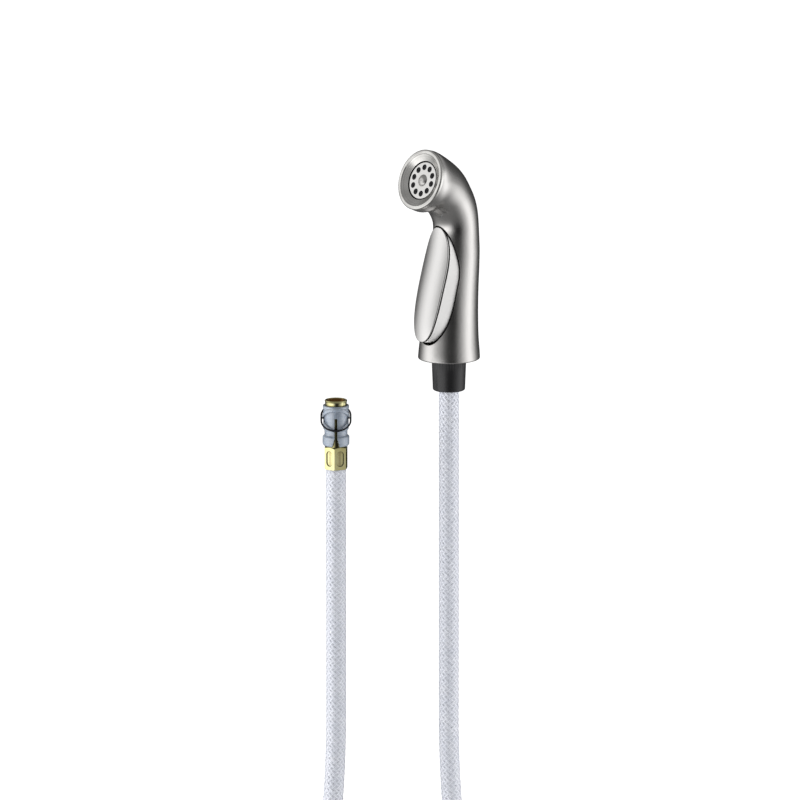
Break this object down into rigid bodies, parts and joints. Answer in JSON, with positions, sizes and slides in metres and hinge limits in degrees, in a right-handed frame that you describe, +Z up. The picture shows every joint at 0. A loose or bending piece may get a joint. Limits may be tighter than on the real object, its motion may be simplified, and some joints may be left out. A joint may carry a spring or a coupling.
{
  "type": "pre rinse hand sprayer with hose",
  "caption": "Hand sprayer with a thumb lever, a long braided hose in a hanging loop and a quick connector for the faucet's nipple.",
  "frame": {"origin": "centre of the sprayer's base face, which rests on the deck holder", "axes": "+Z up along the sprayer's grip, the spray leaves towards -Y and rises, X across the sprayer; the hose hangs below"},
  "size_m": [0.1268, 0.1401, 0.7502],
  "materials": {
    "satin_nickel": "satin",
    "black_rubber": "matte",
    "white_plastic": "moulded",
    "brass": "turned",
    "spring_steel": "bright",
    "black_plastic": "moulded",
    "collar_plastic": "moulded",
    "braided_hose": "fine nylon braid"
  },
  "bodies": {
    "handset": {"spray_body": "satin_nickel", "face_ring": "satin_nickel", "spray_disc": "satin_nickel", "face_screw": "satin_nickel", "jet_pad": "black_rubber", "jet_plate": "white_plastic", "face_seal": "black_rubber", "head_chamber": "white_plastic", "water_tube": "white_plastic", "valve_body": "white_plastic", "gland_nut": "brass", "stem_seal": "black_rubber", "valve_cap": "white_plastic", "valve_spring": "spring_steel", "flow_regulator": "white_plastic", "hinge_pin": "spring_steel", "hose_nut": "black_plastic", "hose_washer": "black_rubber", "retaining_clip": "spring_steel"},
    "lever": {"lever_paddle": "satin_nickel", "lever_frame": "satin_nickel"},
    "stem": {"valve_stem": "brass", "seat_washer": "black_rubber"},
    "hose_line": {"swivel_fitting": "brass", "swivel_seals": "black_rubber", "crimp_sleeve": "brass", "hose_tube": "braided_hose", "hose_insert": "brass", "socket_barrel": "brass", "socket_seals": "black_rubber", "snap_collar": "collar_plastic", "hex_ferrule": "brass"},
    "ring": {"release_ring": "spring_steel"}
  },
  "joints": [
    {"name": "lever_hinge", "type": "hinge", "parent": "handset", "child": "lever", "pos_m": [0, -0.0015, 0.082], "axis": [1, 0, 0], "range_deg": [0, 4.5], "stiffness_Nm_per_rad": 2, "springref_deg": -5.73},
    {"name": "valve_slide", "type": "slide", "parent": "handset", "child": "stem", "axis": [0, 1, 0], "range_m": [0, 0.00378], "deforming": ["valve_spring"]},
    {"name": "hose_swivel", "type": "hinge", "parent": "handset", "child": "hose_line", "pos_m": [0, 0, 0], "axis": [0, 0, 1], "continuous": true},
    {"name": "ring_swing", "type": "hinge", "parent": "hose_line", "child": "ring", "pos_m": [-0.04894, -0.0563, -0.0404], "axis": [-0.6561, -0.7547, 0], "range_deg": [0, 70]}
  ],
  "couplings": [
    {"joint": "valve_slide", "follows": "lever_hinge", "m_per_rad": 0.048}
  ]
}
